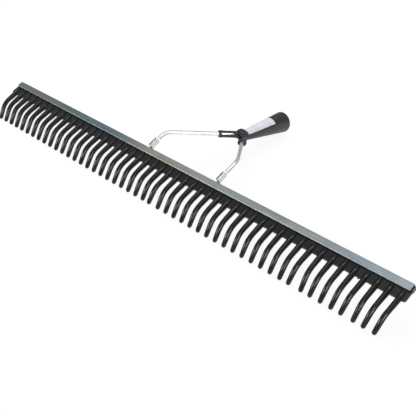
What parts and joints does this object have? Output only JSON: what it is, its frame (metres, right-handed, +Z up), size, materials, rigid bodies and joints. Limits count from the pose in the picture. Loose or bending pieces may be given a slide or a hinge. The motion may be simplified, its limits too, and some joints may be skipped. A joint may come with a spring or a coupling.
{
  "type": "rubber rake head",
  "caption": "Wide rubber rake head: a moulded rubber comb in a zinc channel, with a bent rod bow and a black handle socket.",
  "frame": {"origin": "on the floor, at the middle of the footprint", "axes": "+X along the channel, +Y from the tines back to the handle socket, +Z up, standing on tine tips and socket mouth"},
  "size_m": [0.9812, 0.3828, 0.0712],
  "materials": {
    "rubber": "black moulded rubber with soft long highlights",
    "zinc_sheet": "galvanised sheet, mottled grey",
    "zinc_bracket": "zinc-plated pressing, dull",
    "zinc_rod": "bright zinc-plated round rod",
    "rivet_steel": "zinc-plated rivet",
    "black_plastic": "black moulded plastic with a fine grain",
    "label_paper": "blank white label with a faint sheen"
  },
  "bodies": {
    "root": {"comb": "rubber", "rail": "zinc_sheet", "bracket_left": "zinc_bracket", "bracket_right": "zinc_bracket", "rivet_1": "rivet_steel", "rivet_2": "rivet_steel", "rivet_3": "rivet_steel", "rivet_4": "rivet_steel", "bow": "zinc_rod", "socket": "black_plastic", "label": "label_paper"}
  },
  "joints": []
}
